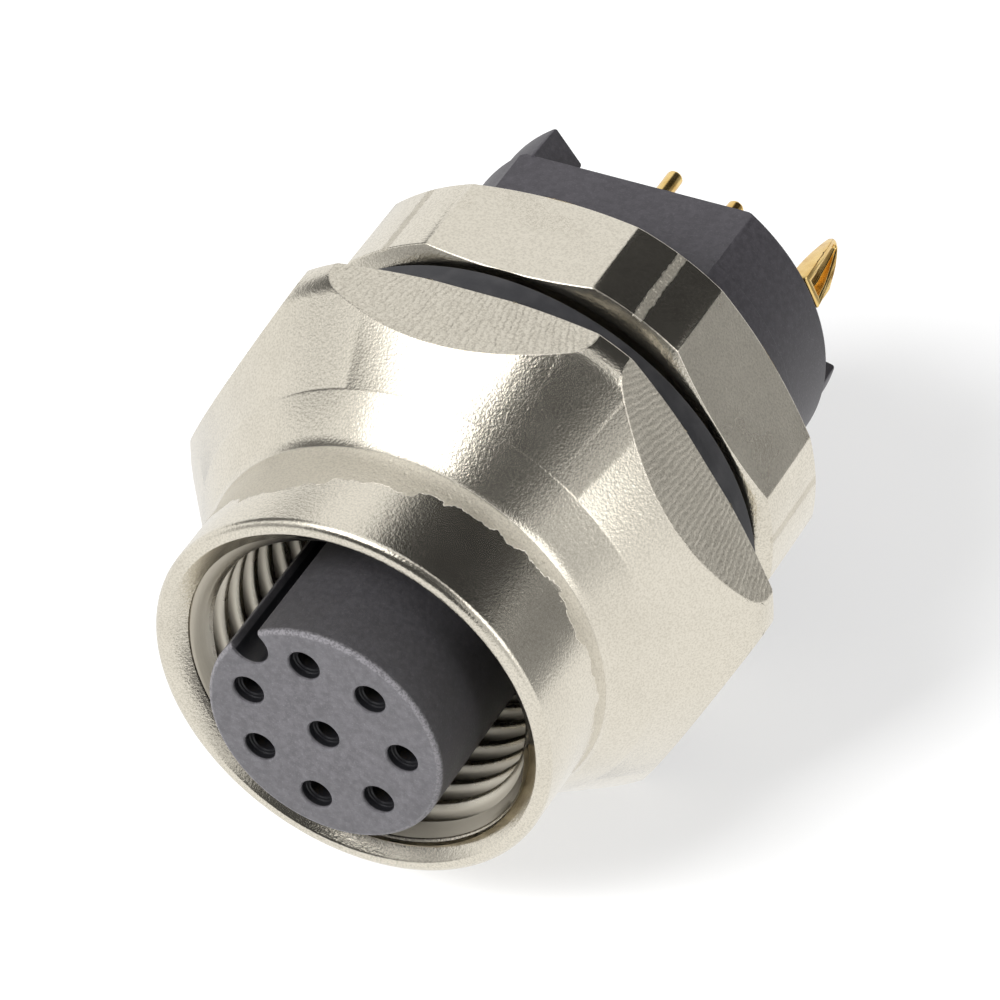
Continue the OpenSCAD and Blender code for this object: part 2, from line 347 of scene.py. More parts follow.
    @classmethod
    def copy(cls, piece: Solid, name: str, shift: Vector) -> Solid:
        """Copies a piece with its own mesh.

        Args:
            piece: The piece that is copied.
            name: Name of the copy.
            shift: How far the copy moves.

        Returns:
            The copy.
        """
        cls.pick(piece)
        bpy.ops.object.duplicate(linked=False)
        copy = bpy.context.object
        copy.name = copy.data.name = name
        bpy.ops.transform.translate(value=shift * MM)
        cls.settle()
        return copy


def math_node(operation: str, reflected: bool = False) -> Callable[..., "Wire"]:
    """Makes a method of Wire that adds a Math node.

    Args:
        operation: The node's operation.
        reflected: Whether the other value comes first.

    Returns:
        The method.
    """

    def method(self: "Wire", *others: Any) -> "Wire":
        """Adds the node, which takes the values in order."""
        values = (*others, self) if reflected else (self, *others)
        return self.graph.wire("ShaderNodeMath", dict(enumerate(values)), operation=operation)

    return method


class Wire:
    """A shader socket that takes part in arithmetic."""

    __add__ = __radd__ = math_node("ADD")
    __sub__ = math_node("SUBTRACT")
    __rsub__ = math_node("SUBTRACT", reflected=True)
    __mul__ = __rmul__ = math_node("MULTIPLY")
    __truediv__ = math_node("DIVIDE")
    __rtruediv__ = math_node("DIVIDE", reflected=True)
    __abs__ = math_node("ABSOLUTE")
    least = math_node("MINIMUM")
    most = math_node("MAXIMUM")
    sine = math_node("SINE")
    root = math_node("SQRT")

    def __init__(self, graph: "Graph", socket: bpy.types.NodeSocket) -> None:
        """Wraps a socket of a graph's node."""
        self.graph = graph
        self.socket = socket

    def rise(self, low: float, high: float, start: float = 0.0, end: float = 1.0) -> "Wire":
        """A smooth step from start to end as the value goes from low to high."""
        return self.graph.wire("ShaderNodeMapRange", {0: self, 1: low, 2: high, 3: start, 4: end},
                               interpolation_type="SMOOTHSTEP")

    def fall(self, low: float, high: float, start: float = 1.0) -> "Wire":
        """A smooth step from start down to 0 as the value goes from low to high."""
        return self.rise(low, high, start, 0.0)


class Graph:
    """The nodes of a material or of the surroundings."""

    def __init__(self, tree: bpy.types.NodeTree) -> None:
        """Empties a node tree and writes to it."""
        self.tree = tree
        self.tree.nodes.clear()

    def node(self, kind: str, inputs: Optional[Inputs] = None, **settings: Any) -> bpy.types.Node:
        """Adds a node.

        Args:
            kind: Type of the node.
            inputs: Values, sockets or wires for its inputs, by name or number.
            **settings: Its properties, which are set first.

        Returns:
            The node.
        """
        node = self.tree.nodes.new(kind)
        for key, value in settings.items():
            setattr(node, key, value)
        for key, value in (inputs or {}).items():
            if isinstance(value, Wire):
                value = value.socket
            if isinstance(value, bpy.types.NodeSocket):
                self.tree.links.new(value, node.inputs[key])
            else:
                node.inputs[key].default_value = value
        return node

    def wire(self, kind: str, inputs: Optional[Inputs] = None, output: Any = 0, **settings: Any) -> Wire:
        """Adds a node and gives one of its outputs as a wire."""
        return Wire(self, self.node(kind, inputs, **settings).outputs[output])

    def level(self, one: Any, other: Any, share: Any) -> Wire:
        """A value between two values."""
        return self.wire("ShaderNodeMix", {0: share, 2: one, 3: other}, data_type="FLOAT")

    def blend(self, one: Any, other: Any, share: Any) -> Wire:
        """A colour between two colours."""
        return self.wire("ShaderNodeMix", {0: share, 6: one, 7: other}, 2, data_type="RGBA",
                         clamp_factor=True)


class Surface(Graph):
    """A material's nodes, from places in mm to its shader."""

    def __init__(self, name: str, **constants: Any) -> None:
        """Starts a material.

        Args:
            name: Name of the material.
            **constants: Values of the shader's sockets that are the same all over, with _ for spaces.
        """
        self.material = bpy.data.materials.new(name)
        self.material.use_nodes = True
        super().__init__(self.material.node_tree)
        self.shader = self.node("ShaderNodeBsdfPrincipled",
                                {key.replace("_", " "): value for key, value in constants.items()})
        self.node("ShaderNodeOutputMaterial", {"Surface": self.shader.outputs[0]})
        coordinates = self.node("ShaderNodeTexCoord")
        self.place = self.wire("ShaderNodeMapping", {"Vector": coordinates.outputs["Object"],
                                                     "Scale": (1 / MM, 1 / MM, 1 / MM)})
        split = self.node("ShaderNodeSeparateXYZ", {0: self.place})
        self.x, self.y, self.z = (Wire(self, output) for output in split.outputs)
        self.radius = (self.x * self.x + self.z * self.z).root()

    def noise(self, scale: float, detail: float = 2.0, rough: float = 0.5) -> Wire:
        """Noise from 0 to 1, by its turns per mm, number of finer layers and their strength."""
        return self.wire("ShaderNodeTexNoise", {"Vector": self.place, "Scale": scale, "Detail": detail,
                                                "Roughness": rough}, noise_dimensions="3D")

    def streaks(self, along: Wire, scale: float, detail: float = 2.0) -> Wire:
        """Noise that varies along one value alone."""
        return self.wire("ShaderNodeTexNoise", {"W": along, "Scale": scale, "Detail": detail},
                         noise_dimensions="1D")

    def cells(self, scale: float) -> Wire:
        """Distance to the nearest of scattered points, whose density is in points per mm."""
        return self.wire("ShaderNodeTexVoronoi", {"Vector": self.place, "Scale": scale}, feature="F1")

    def across(self, angle: float) -> tuple[Wire, Wire]:
        """How far a place lies from the axis along a direction in degrees, and square to it, in mm."""
        c, s = math.cos(math.radians(angle)), math.sin(math.radians(angle))
        return self.x * c + self.z * s, self.z * c - self.x * s

    def finish(self, colour: Wire, rough: Wire, height: Wire, depth: float) -> Material:
        """Drives what varies over the surface.

        Args:
            colour: The base colour.
            rough: The roughness.
            height: The relief's height, about 0 to 1.
            depth: Real depth of a height of 1, in mm.

        Returns:
            The finished material.
        """
        normal = self.wire("ShaderNodeBump", {"Height": height, "Distance": depth * MM})
        for name, wire in (("Base Color", colour), ("Roughness", rough), ("Normal", normal)):
            self.tree.links.new(wire.socket, self.shader.inputs[name])
        return self.material


@dataclass(frozen=True)
class NickelFinish:
    """Nickel plating over turned brass, satin, with a fine grain from tumbling. Sizes in mm."""

    tone: Colour = (0.82, 0.77, 0.66, 1)
    shade: Colour = (0.50, 0.46, 0.38, 1)
    rough: float = 0.17
    grain: float = 11.0
    grain_depth: float = 0.0095
    flat_play: float = 0.008
    stroke_pitch: float = 0.24
    stroke_centre_y: float = 8.5
    ledge_front: float = -6.5
    ledge_slant: float = 0.22
    ledge_jags: float = 1.3
    corner_line: float = 0.20

    def body(self) -> Material:
        """The body's finish: turned surfaces, a rough band behind the collar and milled flats."""
        g = Surface("nickel_body", Metallic=1.0)
        fine, coarse, cloud = g.noise(self.grain, 2.0, 0.6), g.noise(4.0, 1.0), g.noise(0.45, 2.0)
        flat = reduce(Wire.most, [mask for mask, _ in self._flats(g, BODY_FLAT_R)])
        strokes, ledge = self._strokes(g), self._ledge(g)
        turning = g.streaks(g.y + 0.37 * g.radius, 9.0, 3.0)
        pits = g.cells(4.6).rise(0.12, 0.42)
        height = fine * 0.9 + coarse * 0.25 + turning * 0.06 * (1 - flat)
        height = height + flat * (strokes * 0.8 + fine * 0.5) + ledge * (pits * 0.9 + 0.3)
        specks = g.noise(14.0, 2.0, 0.7).fall(0.34, 0.6, 0.38) * (1 + flat * 0.7)
        colour = g.blend(self.shade, self.tone, 1 - specks - cloud.fall(0.2, 0.6, 0.18))
        rough = self.rough + cloud * 0.08 + flat * (0.12 + strokes * 0.06) + ledge * 0.40
        return g.finish(colour, rough, height, self.grain_depth)

    def nut(self) -> Material:
        """The nut's finish: sandy flats, and turned corners with a rough line along their middle."""
        g = Surface("nickel_nut", Metallic=1.0)
        fine, coarse, cloud = g.noise(self.grain, 2.0, 0.6), g.noise(4.0, 1.0), g.noise(0.5, 2.0)
        flat = reduce(Wire.most, [mask for mask, _ in self._flats(g, NUT_FLAT_R)])
        corner = self._corner_line(g)
        height = fine * (0.9 + flat * 0.3) + coarse * 0.2 + corner * g.cells(6.0).rise(0.1, 0.5) * 1.2
        specks = g.noise(13.0, 2.0, 0.7).fall(0.34, 0.6, 0.42)
        colour = g.blend(self.shade, self.tone, 1 - specks - cloud.fall(0.2, 0.6, 0.18))
        rough = self.rough + cloud * 0.06 + flat * 0.08 + corner * 0.30
        return g.finish(colour, rough, height, self.grain_depth)

    def thread(self) -> Material:
        """The finish of the thread's turns, smoother on the mating thread's crests, with painted shade in
        its roots; the panel thread, further out, gets the same darker colour all over.
        """
        g = Surface("nickel_thread", Metallic=1.0)
        fine, cloud = g.noise(9.0, 2.0), g.noise(0.8, 2.0)
        # Painted shade: beyond 5.75 mm from the axis the colour goes to the darker tone, in the mating
        # thread's roots
        crest = g.radius.fall(5.5, 5.75)
        colour = g.blend(self.shade, self.tone, crest * 0.7 + cloud * 0.3)
        rough = 0.22 + cloud * 0.10 + (1 - crest) * 0.12
        return g.finish(colour, rough, fine + g.streaks(g.y, 14.0), 0.002)

    def _flats(self, g: Surface, flat_r: float) -> list[tuple[Wire, Wire]]:
        """Finds the flats of a hexagon.

        Args:
            g: The material's graph.
            flat_r: Distance of the flats from the axis.

        Returns:
            For each pair of flats, 1 on them and 0 elsewhere, and the distance along them.
        """
        found: list[tuple[Wire, Wire]] = []
        low, high, edge = flat_r - self.flat_play, flat_r + self.flat_play, self.flat_play / 2
        for angle in FLAT_PAIRS:
            out, along = g.across(angle)
            out = abs(out)
            found.append((out.rise(low - edge, low) * out.fall(high, high + edge), along))
        return found

    def _strokes(self, g: Surface) -> Wire:
        """The height, from 0 to 1, of the milling cutter's marks, which fan out across each flat."""
        along = reduce(Wire.__add__, [along * mask for mask, along in self._flats(g, BODY_FLAT_R)])
        fan = along * 9.5 / (self.stroke_centre_y - g.y)
        fan = fan + g.noise(1.6, 1.0) * 0.22 + g.noise(5.0, 1.0) * 0.16
        return (fan * (math.tau / self.stroke_pitch)).sine() * 0.5 + 0.5

    def _ledge(self, g: Surface) -> Wire:
        """The rough band at the rear of the collar, whose jagged front edge slants over the top."""
        slant = (g.x.most(-3.0).least(4.0) - 4.0) * self.ledge_slant
        front = slant + (g.noise(1.1, 3.0, 0.65) - 0.5) * self.ledge_jags + self.ledge_front
        outside = g.radius.rise(COLLAR_R - 0.15, COLLAR_R - 0.10)
        return (g.y - front).rise(0.0, 0.05) * g.y.fall(SLOPE_Y, SLOPE_Y + 0.08) * outside

    def _corner_line(self, g: Surface) -> Wire:
        """The rough line along the middle of each of the nut's corners."""
        sides = [abs(g.across(angle)[1]) for angle in CORNER_PAIRS]
        lines = [(side + g.noise(5.0, 1.0) * 0.16).fall(self.corner_line, self.corner_line + 0.10)
                 for side in sides]
        return reduce(Wire.most, lines) * g.radius.rise(NUT_CORNER_R - 0.07, NUT_CORNER_R - 0.03)


@dataclass(frozen=True)
class MouldedFinish:
    """Dark moulded plastic with a matt skin, mottled; given a mating face, with painted shade in the mouths
    and on the sides behind it, and a painted highlight along the nose's edge.
    """

    name: str
    tone: Colour
    pale: Colour
    rough: float
    # Colour of the painted shade in the mouths and on the sides behind the mating face
    dark: Colour = (0.006, 0.006, 0.007, 1)
    # Colour of the painted highlight along the nose's front edge
    edge_highlight: Colour = (0.22, 0.21, 0.22, 1)
    # Share of the painted shade on the sides behind the mating face
    side_shade_share: float = 0.58

    def make(self, face: Optional[float] = None) -> Material:
        """Makes the material.

        Args:
            face: Station of the mating face behind which the sides and the mouths get painted shade, in mm.

        Returns:
            The material.
        """
        g = Surface(self.name, Specular_IOR_Level=0.45)
        fine, mottle, cloud = g.noise(13.0, 2.0, 0.6), g.noise(5.0, 3.0, 0.6), g.noise(0.5, 2.0)
        specks = g.noise(16.0, 1.0).rise(0.6, 0.7)
        pale = mottle.rise(0.3, 0.75) * 0.45 + cloud * 0.2 + specks * 0.3
        colour = g.blend(self.tone, self.pale, pale)
        rough = self.rough + mottle * 0.12 - specks * 0.08
        if face is not None:
            # Painted shade: the mouths and the groove go dark, and the sides behind the mating face darker;
            # it is blended in below
            behind = g.y.rise(face + 0.08, face + 0.13)
            mouths = behind * g.radius.fall(NOSE_R - 0.24, NOSE_R - 0.20)
            inside = mouths.most(behind * self.side_shade_share)
            # Painted highlight: a lighter, speckled line along the nose's front edge, blended in after the
            # painted shade
            edge = g.radius.rise(NOSE_R - 0.18, NOSE_R - 0.10) * g.y.fall(face + 0.10, face + 0.24)
            colour = g.blend(colour, self.dark, inside)
            colour = g.blend(colour, self.edge_highlight, edge * fine.rise(0.35, 0.6) * 0.4)
            rough = rough - inside * 0.12
        return g.finish(colour, rough, fine * 0.8 + mottle * 0.3, 0.006)


@dataclass(frozen=True)
class RubberFinish:
    """Black moulded rubber with a dull skin."""

    tone: Colour = (0.016, 0.016, 0.018, 1)
    dust: Colour = (0.045, 0.044, 0.046, 1)

    def make(self) -> Material:
        """Makes the material."""
        g = Surface("rubber_seal", Specular_IOR_Level=0.35)
        fine, cloud = g.noise(9.0, 3.0, 0.6), g.noise(1.1, 2.0)
        colour = g.blend(self.tone, self.dust, cloud.rise(0.35, 0.75) * 0.6 + fine * 0.2)
        return g.finish(colour, 0.52 + cloud * 0.16, fine, 0.004)


@dataclass(frozen=True)
class GoldFinish:
    """Thin gold plating over formed and turned brass."""

    tone: Colour = (0.92, 0.66, 0.26, 1)
    shade: Colour = (0.72, 0.44, 0.12, 1)

    def make(self) -> Material:
        """Makes the material."""
        g = Surface("gold_plate", Metallic=1.0)
        fine, cloud, lines = g.noise(12.0, 2.0), g.noise(1.4, 2.0), g.streaks(g.y, 22.0, 2.0)
        colour = g.blend(self.shade, self.tone, cloud.rise(0.2, 0.6))
        return g.finish(colour, 0.16 + cloud * 0.12, fine * 0.5 + lines * 0.5, 0.0018)


class Finishes:
    """All the finishes, made once."""

    def __init__(self) -> None:
        """Makes the materials."""
        nickel = NickelFinish()
        self.nickel_body = nickel.body()
        self.nickel_nut = nickel.nut()
        self.nickel_thread = nickel.thread()
        self.insert = MouldedFinish("plastic_insert", (0.052, 0.050, 0.054, 1),
                                    (0.112, 0.108, 0.117, 1), 0.44).make(FACE_Y)
        self.carrier = MouldedFinish("plastic_carrier", (0.026, 0.024, 0.028, 1),
                                     (0.062, 0.058, 0.066, 1), 0.42).make()
        self.rubber = RubberFinish().make()
        self.gold = GoldFinish().make()


@dataclass
class Piece:
    """What every sub-assembly needs to hand over its pieces."""

    finishes: Finishes

    @staticmethod
    def dress(piece: Solid, material: Material) -> None:
        """Gives a piece its material."""
        piece.data.materials.clear()
        piece.data.materials.append(material)

    def hand_over(self, piece: Solid, material: Material, slot: Slot, *stands_for: str,
                  body: Body = Body.CONNECTOR) -> None:
        """Dresses a piece, puts it on its body and reports it.

        Args:
            piece: The finished mesh.
            material: Its material.
            slot: The record's slot of its finish; not used.
            *stands_for: CAD nodes that it stands for.
            body: The body that it rides on.
        """
        self.dress(piece, material)
        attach(piece, body.value)
        if stands_for:
            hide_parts(*stands_for)
        LOG.info("%s: %d faces, rides on %s", piece.name, len(piece.data.polygons), body.value)


@dataclass
class Housing(Piece):
    """The turned metal body with its hexagon and its two threads. Sizes in mm."""

    steps: int = 288
    rim: float = -9.8
    rim_round: float = 0.30
    collar_r: float = COLLAR_R
    bore_r: float = 6.0
    sink: float = 0.55
    slope: float = SLOPE_Y
    fillet: float = 1.6
    shoulder: float = -1.3
    shoulder_round: float = 1.8
    body_r: float = 10.35
    flat_r: float = BODY_FLAT_R
    back_len: float = 0.4
    back_step: float = 1.0
    back_round: float = 0.14
    spigot_r: float = 7.5
    spigot_root_r: float = 6.95
    spigot_end: float = 5.4
    spigot_chamfer: float = 0.12
    rear_bore_r: float = 6.3
    web: tuple[float, float] = (-1.0, 0.2)
    web_hole_r: float = 4.65
    web_round: float = 0.05
    # The turned line on the slope: steps in radius and station from its place
    line_y: float = -4.38
    line: tuple[Point, ...] = ((-0.010, -0.05), (0.018, 0.0), (0.04, 0.06))
    pitch: float = 1.0
    thread_steps: int = 120
    # Half of each thread's section: radius and distance from the middle of its crest
    mating: tuple[Point, ...] = ((6.07, 0.45), (5.995, 0.43), (5.82, 0.335), (5.64, 0.231), (5.49, 0.14),
                                 (5.46, 0.10))
    panel: tuple[Point, ...] = ((6.88, 0.45), (6.955, 0.42), (7.2, 0.28), (7.48, 0.11), (7.5, 0.08))
    # How far a ridge's foot lies in the metal, and how far at the rim
    buried: float = 0.07
    flush: float = 0.05
    # Where the mating thread starts to run out, and where the panel thread starts behind its relief
    runout_y: float = -2.5
    relief_y: float = 1.2

    def outline(self) -> list[Point]:
        """The body's outline, from the rim's inner edge round to the cavity."""
        rise = (self.body_r - self.collar_r) / (self.shoulder - self.slope)
        line_r = self.collar_r + (self.line_y - self.slope) * rise
        spigot_r, end, (front, rear) = self.spigot_root_r, self.spigot_end, self.web
        return rounded([
            (self.bore_r + self.sink, self.rim, 0), (self.collar_r, self.rim, self.rim_round),
            (self.collar_r, self.slope, self.fillet),
            *((line_r + out, self.line_y + along, 0) for out, along in self.line),
            (self.body_r, self.shoulder, self.shoulder_round),
            (self.body_r, -self.back_len, self.back_round), (self.body_r - self.back_step, 0, 0),
            (spigot_r, 0, 0.05), (spigot_r, end - self.spigot_chamfer, 0),
            (spigot_r - self.spigot_chamfer, end, 0), (self.rear_bore_r, end, 0.08),
            (self.rear_bore_r, rear, 0), (self.web_hole_r, rear, self.web_round),
            (self.web_hole_r, front, self.web_round), (self.bore_r, front, 0),
            (self.bore_r, self.rim + self.sink, 0), (self.bore_r + self.sink - 0.06, self.rim + 0.06, 0)])

    def build(self) -> None:
        """Turns the body, cuts its hexagon and adds both threads."""
        body = Bench.turn("housing_body", self.outline(), self.steps)
        Bench.cut(body, [Bench.hexagon(self.flat_r, self.rim - 1, self.spigot_end + 1)], Cut.COMMON)
        Bench.ease(body, 0.035, 20)
        Bench.smooth(body, 30)
        self.hand_over(body, self.finishes.nickel_body, Slot.NICKEL, "housing")
        for thread in (self.mating_thread(), self.panel_thread()):
            self.hand_over(thread, self.finishes.nickel_thread, Slot.NICKEL)

    def helix(self, name: str, half: Sequence[Point], start: float, turns: int,
              limit: Callable[[float], Point]) -> Solid:
        """Runs a thread's section round the axis.

        Args:
            name: Name of the new object.
            half: Half of the section, as radius and distance from the middle of its crest.
            start: Station of the first turn.
            turns: Number of turns.
            limit: Gives the least and the greatest radius at a station.

        Returns:
            The thread's ridge, closed at both ends.
        """
        section = [(r, start - y) for r, y in half] + [(r, start + y) for r, y in reversed(half)]
        ridge = Bench.outline(name, section)
        bpy.ops.mesh.edge_face_add()
        bpy.ops.mesh.delete(type="ONLY_FACE")
        Bench.settle()
        Bench.modify(ridge, "SCREW", axis="Y", screw_offset=self.pitch * MM, iterations=turns,
                     steps=self.thread_steps, render_steps=self.thread_steps)
        for vertex in ridge.data.vertices:
            x, y, z = vertex.co / MM
            radius = math.hypot(x, z)
            least, most = limit(y)
            wanted = min(max(radius, least), most)
            vertex.co.x *= wanted / radius
            vertex.co.z *= wanted / radius
        Bench.open(ridge)
        bpy.ops.mesh.select_all(action="DESELECT")
        bpy.ops.mesh.select_non_manifold(extend=False, use_wire=False, use_multi_face=False,
                                         use_non_contiguous=False, use_verts=False)
        bpy.ops.mesh.edge_face_add()
        Bench.tidy(ridge)
        Bench.smooth(ridge, 35)
        return ridge

    def mating_thread(self) -> Solid:
        """The M12 thread's ridge inside the collar, cut back by the countersink at the rim."""

        def limit(station: float) -> Point:
            """The countersink at the rim, and the runout at the cavity's floor."""
            lead = self.bore_r + self.flush - (station - self.rim - self.sink)
            runout = self.mating[-1][0] + (station - self.runout_y) * 0.9
            foot = self.buried if station > self.rim + self.flush else self.flush
            return max(lead, runout, 0.0), self.bore_r + foot

        return self.helix("mating_thread", self.mating, self.rim + self.sink, 8, limit)

    def panel_thread(self) -> Solid:
        """The panel thread's ridge on the spigot."""

        def limit(station: float) -> Point:
            """The relief at the seat, and the chamfer at the spigot's end."""
            lead = self.spigot_r - (station - self.spigot_end + 0.5)
            start = self.spigot_root_r + (station - self.relief_y) * 1.4
            return 0.0, max(min(lead, start, self.spigot_r), self.spigot_root_r - self.buried)

        return self.helix("panel_thread", self.panel, self.relief_y + 0.55, 3, limit)


@dataclass
class Insert(Piece):
    """The moulded insert with its coding groove and eight mouths. Sizes in mm."""

    steps: int = 160
    face: float = FACE_Y
    nose_r: float = NOSE_R
    root: float = -1.9
    root_r: float = 4.61
    flange: tuple[float, float] = (1.1, 3.7)
    flange_r: float = 6.26
    groove_r: float = 0.65
    groove_floor: float = 3.05
    mouth_r: float = 0.55
    mouth_depth: float = 0.34
    mouth_edge: float = 0.035
    lip_r: float = 0.39
    lip_depth: float = 0.96
    bore_r: float = 0.78

    def build(self) -> None:
        """Moulds the insert and hands it over."""
        insert = Bench.turn("insert_moulding", rounded([
            (0, self.face, 0), (self.nose_r, self.face, 0.18), (self.nose_r - 0.03, self.root, 0.1),
            (self.root_r, self.root, 0.08), (self.root_r, self.flange[0], 0),
            (self.flange_r, self.flange[0], 0.08), (self.flange_r, self.flange[1], 0),
            (0, self.flange[1], 0)]), self.steps, closed=False)
        Bench.flatten(insert, DOUBLE)
        Bench.cut(insert, self.groove())
        Bench.flatten(insert, 0.02)
        Bench.ease(insert, 0.045, 50)
        before, step, lip = self.face - 1, self.face + self.mouth_depth, self.face + self.lip_depth
        edge, end = self.mouth_edge, self.flange[1] + 1
        Bench.cut(insert, Bench.drills([
            (0, before), (self.mouth_r + edge, before), (self.mouth_r + edge, self.face),
            (self.mouth_r, self.face + edge), (self.mouth_r - 0.02, step - 0.03),
            (self.mouth_r - 0.05, step), (self.lip_r + edge, step), (self.lip_r, step + edge),
            (self.lip_r, lip), (self.bore_r, lip), (self.bore_r, end), (0, end)]))
        Bench.smooth(insert, 35)
        self.hand_over(insert, self.finishes.insert, Slot.PLASTIC, "contact_insert")

    def groove(self) -> list[Solid]:
        """The tools that cut the coding groove: a rod for its floor and a block for its open side."""
        middle, before, side = self.groove_floor + self.groove_r, self.face - 1, self.groove_r
        Bench.clear()
        bpy.ops.mesh.primitive_cylinder_add(
            vertices=TOOL_SIDES, radius=side * MM, depth=(self.root - before) * MM,
            location=toward(KEY_ANGLE, middle, (before + self.root) / 2) * MM,
            rotation=Vector((0, 1, 0)).to_track_quat("Z", "Y").to_euler())
        rod = bpy.context.object
        return [rod, Bench.block("groove_side", (middle, before, -side), (5, self.root, side), KEY_ANGLE)]


@dataclass
class Contacts(Piece):
    """The eight gold sockets with their solder tails. Sizes in mm."""

    steps: int = 40
    mouth: float = -10.53
    mouth_sink: float = 0.14
    socket_r: float = 0.75
    socket_depth: float = 6.0
    bore_r: float = 0.42
    slit_w: float = 0.15
    slit_len: float = 3.5
    ring: tuple[float, float] = (-7.1, -5.85)
    ring_depth: float = 0.07
    collar: tuple[float, float] = (2.9, 3.7)
    collar_r: float = 0.95
    shank_r: float = 0.5
    shank_end: float = 11.9
    tail_r: float = 0.3
    tail_end: float = 15.4
    tip_r: float = 0.12

    def build(self) -> None:
        """Turns one contact and copies it to the eight places."""
        ring_r, floor = self.socket_r - self.ring_depth, self.mouth + self.socket_depth
        first = Bench.turn("contact_1_socket", rounded([
            (self.bore_r + self.mouth_sink, self.mouth, 0), (self.socket_r, self.mouth, 0.08),
            (self.socket_r, self.ring[0], 0), (ring_r, self.ring[0] + 0.05, 0),
            (ring_r, self.ring[1] - 0.05, 0), (self.socket_r, self.ring[1], 0),
            (self.socket_r, self.collar[0], 0), (self.collar_r, self.collar[0] + 0.05, 0.04),
            (self.collar_r, self.collar[1], 0.04), (self.shank_r, self.collar[1], 0),
            (self.shank_r, self.shank_end, 0.08), (self.tail_r, self.shank_end + 0.06, 0.05),
            (self.tail_r, self.tail_end - 0.02, 0.14), (self.tip_r, self.tail_end, 0.03),
            (0, self.tail_end, 0), (0, floor + 0.1, 0), (self.bore_r, floor, 0),
            (self.bore_r, self.mouth + self.mouth_sink, 0)], 4), self.steps)
        Bench.cut(first, [Bench.block("slit", (-1, self.mouth - 1, -self.slit_w / 2),
                                      (1, self.mouth + self.slit_len, self.slit_w / 2))])
        Bench.smooth(first, 35)
        for number in OTHER_CONTACTS:
            copy = Bench.copy(first, f"contact_{number}_socket", contact_place(number))
            self.hand_over(copy, self.finishes.gold, Slot.GOLD, f"contact_{number}")
        self.hand_over(first, self.finishes.gold, Slot.GOLD, "contact_1")


@dataclass
class Carrier(Piece):
    """The moulded rear carrier with its flat, feet and holes. Sizes in mm."""

    steps: int = 192
    neck_r: float = 6.26
    head_r: float = 6.9
    rear_r: float = 6.78
    neck: float = 3.7
    head: tuple[float, float] = (5.4, 11.6)
    band: float = 8.6
    flat_z: tuple[float, float] = (5.42, 5.3)
    slot_r: tuple[float, float] = (5.65, 6.31)
    slot_w: float = 1.26
    hole_r: float = 0.53
    sink_r: float = 0.72
    sink_depth: float = 0.12
    foot_r: tuple[float, float] = (4.9, 6.6)
    foot_end: float = 13.2
    foot_span: float = 40.0

    def build(self) -> None:
        """Moulds the carrier and hands it over."""
        front, rear = self.head
        carrier = Bench.turn("carrier_moulding", rounded([
            (0, self.neck, 0), (self.neck_r, self.neck, 0.1), (self.neck_r, front, 0),
            (self.head_r, front, 0), (self.head_r, self.band, 0), (self.rear_r, self.band, 0),
            (self.rear_r, rear, 0.15), (0, rear, 0)]), self.steps, closed=False)
        far = (8, 16, 8)
        tools = [
            Bench.block("flat_front", (-8, front + 0.4, self.flat_z[0]), far),
            Bench.block("flat_rear", (-8, self.band + 0.12, self.flat_z[1]), far),
            Bench.block("pin_slot", (self.slot_r[0], self.neck - 1, -self.slot_w / 2),
                        (self.slot_r[1], 12, self.slot_w / 2), PIN_ANGLE)]
        Bench.flatten(carrier, DOUBLE)
        Bench.cut(carrier, tools)
        Bench.flatten(carrier, 0.01)
        Bench.ease(carrier, 0.04, 40)
        before, sink, end, edge = self.neck - 1, rear - self.sink_depth, rear + 1, 0.03
        Bench.cut(carrier, Bench.drills([
            (0, before), (self.hole_r, before), (self.hole_r, sink), (self.sink_r, sink),
            (self.sink_r, rear - edge), (self.sink_r + edge, rear), (self.sink_r + edge, end), (0, end)]))
        Bench.smooth(carrier, 35)
        self.hand_over(carrier, self.finishes.carrier, Slot.PLASTIC, "rear_carrier")
        for name, angle in (("foot_upper", 125.0), ("foot_lower", -55.0)):
            self.hand_over(self.foot(name, angle), self.finishes.carrier, Slot.PLASTIC)

    def foot(self, name: str, angle: float) -> Solid:
        """One foot, swept round the axis from its section.

        Args:
            name: Name of the new object.
            angle: Direction of its nearer side, in degrees.

        Returns:
            The foot.
        """
        low = self.head[1] - 0.1
        inner, outer = self.foot_r
        section = rounded([
            (inner, low, 0), (outer, low, 0), (outer - 0.04, self.foot_end, 0.12),
            (inner + 0.04, self.foot_end, 0.12), (inner, low, 0)])[:-1]
        foot = Bench.outline(name, section)
        bpy.ops.mesh.edge_face_add()
        Bench.swing(angle, "Y")
        bpy.ops.mesh.spin(steps=24, angle=math.radians(self.foot_span), center=(0, 0, 0), axis=(0, 1, 0))
        Bench.tidy(foot)
        Bench.ease(foot, 0.08, 50)
        Bench.smooth(foot, 35)
        return foot


